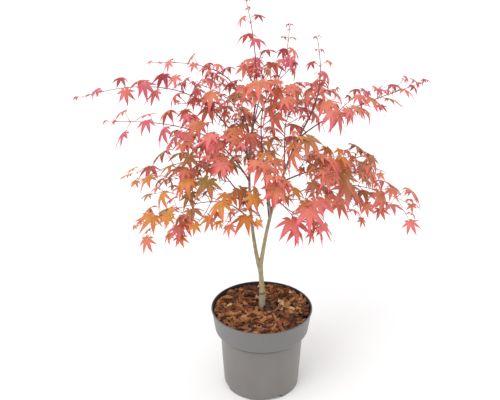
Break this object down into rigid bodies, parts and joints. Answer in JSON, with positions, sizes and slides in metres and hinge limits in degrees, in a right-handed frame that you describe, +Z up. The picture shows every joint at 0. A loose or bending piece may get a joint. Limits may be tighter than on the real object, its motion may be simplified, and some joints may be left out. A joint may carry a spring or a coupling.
{
  "type": "potted japanese maple",
  "caption": "Young Japanese maple in autumn leaf: a slim forked trunk with an open crown of lobed leaves, growing in a round nursery pot topped with bark chips.",
  "frame": {"origin": "on the pot's axis, in the plane of the pot's flat underside", "axes": "+Z up along the pot's axis; +X to the right of whoever looks at the front, where the crown is widest; +Y away from them"},
  "size_m": [0.5732, 0.4072, 0.7092],
  "materials": {
    "pot_plastic": "matt grey moulded plastic",
    "compost": "damp peaty compost",
    "bark_chips": "loose red-brown bark chips",
    "trunk_bark": "smooth olive-beige bark",
    "young_bark": "smooth red-brown young bark",
    "leaves_low": "orange autumn leaves",
    "leaves_middle": "coral autumn leaves",
    "leaves_high": "rose-pink autumn leaves"
  },
  "bodies": {
    "root": {"pot": "pot_plastic", "compost": "compost", "bark_mulch": "bark_chips", "trunk": "trunk_bark", "left_stem": "trunk_bark", "right_stem": "trunk_bark", "bough_left_high": "young_bark", "bough_left_upper": "young_bark", "bough_left_mid": "young_bark", "bough_left_low": "young_bark", "bough_left_base": "young_bark", "bough_left_front": "young_bark", "bough_front_left": "young_bark", "bough_back_left": "young_bark", "bough_back_high": "young_bark", "bough_top_right": "young_bark", "bough_centre": "young_bark", "bough_front_mid": "young_bark", "bough_right_high": "young_bark", "bough_right_front": "young_bark", "bough_right_mid": "young_bark", "bough_right_low": "young_bark", "bough_front_right": "young_bark", "bough_back_right": "young_bark", "bough_back_low": "young_bark", "foliage_leader": "leaves_high", "foliage_right_top": "leaves_high", "foliage_left_high": "leaves_high", "foliage_left_upper": "leaves_high", "foliage_left_mid": "leaves_middle", "foliage_left_low": "leaves_low", "foliage_left_base": "leaves_low", "foliage_left_front": "leaves_middle", "foliage_front_left": "leaves_low", "foliage_back_left": "leaves_middle", "foliage_back_high": "leaves_high", "foliage_top_right": "leaves_high", "foliage_centre": "leaves_high", "foliage_front_mid": "leaves_middle", "foliage_right_high": "leaves_high", "foliage_right_front": "leaves_middle", "foliage_right_mid": "leaves_low", "foliage_right_low": "leaves_low", "foliage_front_right": "leaves_low", "foliage_back_right": "leaves_middle", "foliage_back_low": "leaves_low"}
  },
  "joints": []
}
